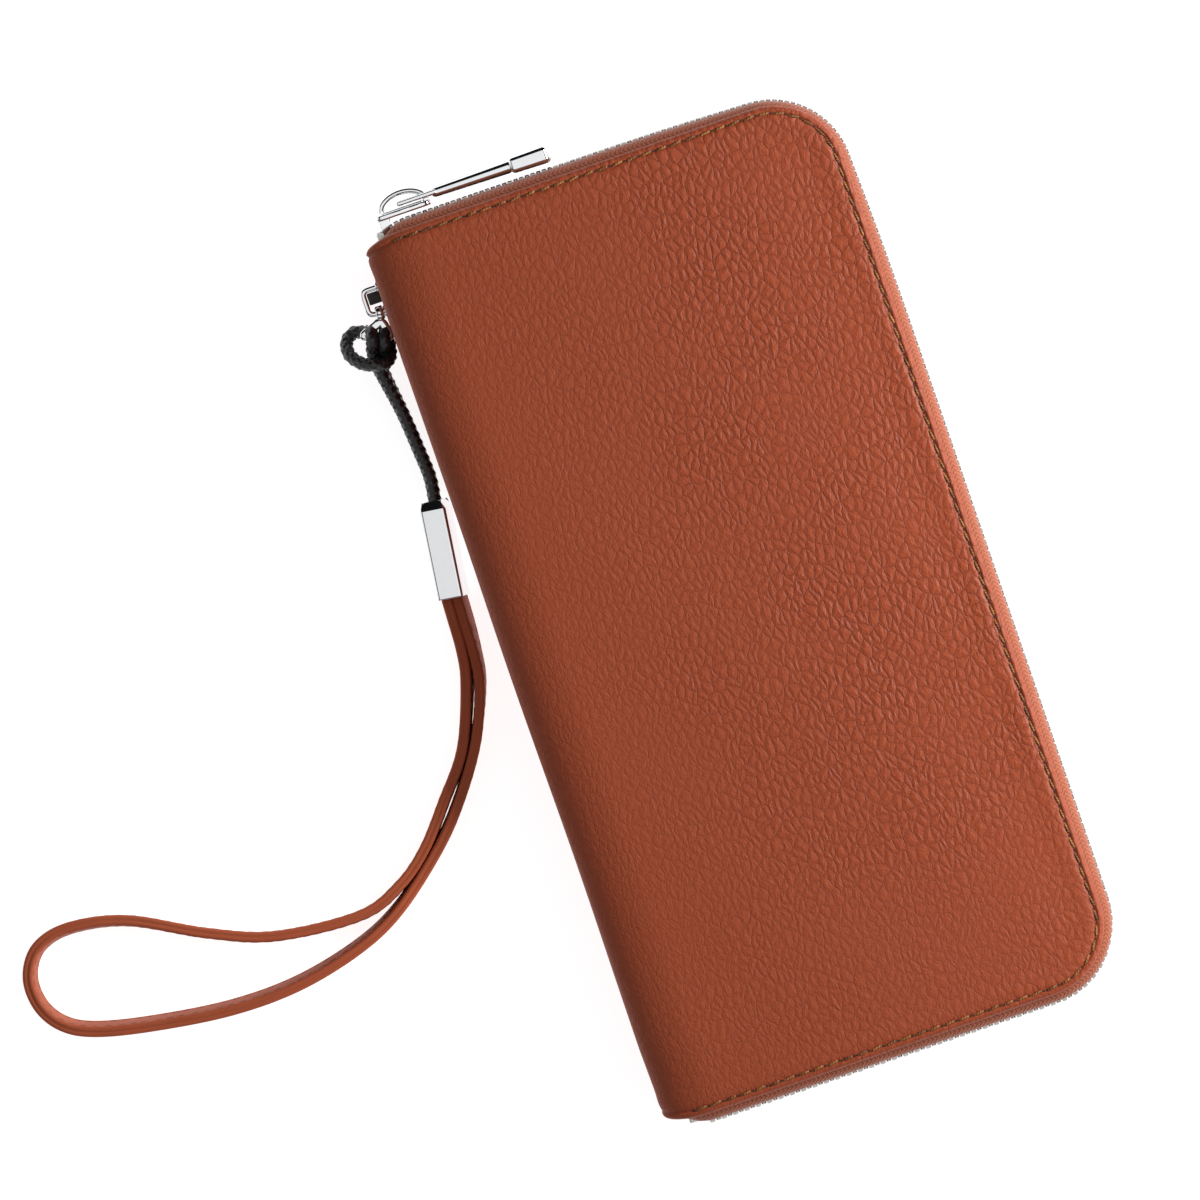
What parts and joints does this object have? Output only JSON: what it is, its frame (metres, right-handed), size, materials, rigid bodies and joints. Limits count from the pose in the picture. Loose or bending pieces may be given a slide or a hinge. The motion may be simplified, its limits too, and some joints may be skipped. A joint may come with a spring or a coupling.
{
  "type": "zip-around wallet with wrist strap",
  "caption": "Long pebbled-leather wallet with a zip round three sides, card slots and a zipped coin pocket inside, and a wrist strap on its spine.",
  "frame": {"origin": "middle of the wallet, on the outer face of its back cover, which lies on the surface", "axes": "+X from the spine to the long zip side, +Y to the short side where the slider stands, +Z to the front cover"},
  "size_m": [0.2202, 0.2053, 0.024],
  "materials": {
    "pebbled_leather": "pebbled grain, satin",
    "strap_leather": "smooth, satin, painted edges",
    "card_leather": "fine grain, satin",
    "lining_cloth": "woven twill",
    "stiffener_board": "plain fibre board",
    "zip_tape": "herringbone woven tape",
    "zip_teeth": "nickel plated",
    "chrome": "polished",
    "waxed_cord": "braided and waxed"
  },
  "bodies": {
    "back_cover": {"leather_back_and_spine": "pebbled_leather", "board_back": "stiffener_board", "board_spine": "stiffener_board", "lining_back": "lining_cloth", "lining_spine": "lining_cloth", "card_slot_back_1": "card_leather", "card_slot_back_2": "card_leather", "card_slot_back_3": "card_leather", "card_slot_back_4": "card_leather", "gusset_slider_end": "lining_cloth", "gusset_stop_end": "lining_cloth", "zip_tape_back": "zip_tape", "zip_teeth_back": "zip_teeth", "top_stop_back": "zip_teeth", "bottom_stop": "zip_teeth", "spine_loop": "chrome"},
    "front_cover": {"leather_front": "pebbled_leather", "board_front": "stiffener_board", "lining_front": "lining_cloth", "card_slot_front_1": "card_leather", "card_slot_front_2": "card_leather", "card_slot_front_3": "card_leather", "card_slot_front_4": "card_leather", "zip_tape_front": "zip_tape", "zip_teeth_front": "zip_teeth", "top_stop_front": "zip_teeth"},
    "coin_page": {"coin_panel_back": "card_leather", "coin_panel_front": "card_leather", "coin_spine_strip": "lining_cloth", "coin_tape_inner": "zip_tape", "coin_tape_outer": "zip_tape", "coin_teeth_inner": "zip_teeth", "coin_teeth_outer": "zip_teeth"},
    "coin_slider": {"coin_slider": "chrome", "coin_slider_crown": "chrome", "coin_slider_puller": "chrome"},
    "slider": {"slider_body": "chrome", "slider_crown": "chrome"},
    "puller": {"slider_puller": "chrome"},
    "strap": {"swivel_link": "chrome", "cord_hitch": "waxed_cord", "cord_lower": "waxed_cord", "cord_upper": "waxed_cord", "ferrule": "chrome", "wrist_strap": "strap_leather"}
  },
  "joints": [
    {"name": "front_fold", "type": "hinge", "parent": "back_cover", "child": "front_cover", "pos_m": [-0.0495, 0, 0.0225], "axis": [0, -1, 0], "range_deg": [0, 60]},
    {"name": "page_turn", "type": "hinge", "parent": "back_cover", "child": "coin_page", "pos_m": [-0.0465, 0, 0.01], "axis": [0, -1, 0], "range_deg": [0, 30]},
    {"name": "slider_travel", "type": "slide", "parent": "back_cover", "child": "slider", "axis": [1, 0, 0], "range_m": [0, 0.068]},
    {"name": "puller_pivot", "type": "hinge", "parent": "slider", "child": "puller", "pos_m": [-0.041, 0.10245, 0.012], "axis": [0, 0, 1], "range_deg": [0, 175]},
    {"name": "coin_slider_travel", "type": "slide", "parent": "coin_page", "child": "coin_slider", "axis": [0, -1, 0], "range_m": [0, 0.112]},
    {"name": "strap_swing", "type": "hinge", "parent": "back_cover", "child": "strap", "pos_m": [-0.0526, 0.0823, 0.0094], "axis": [-1, 0, 0], "range_deg": [0, 60]}
  ],
  "couplings": [
    {"joint": "page_turn", "follows": "front_fold", "ratio": 0.5}
  ]
}
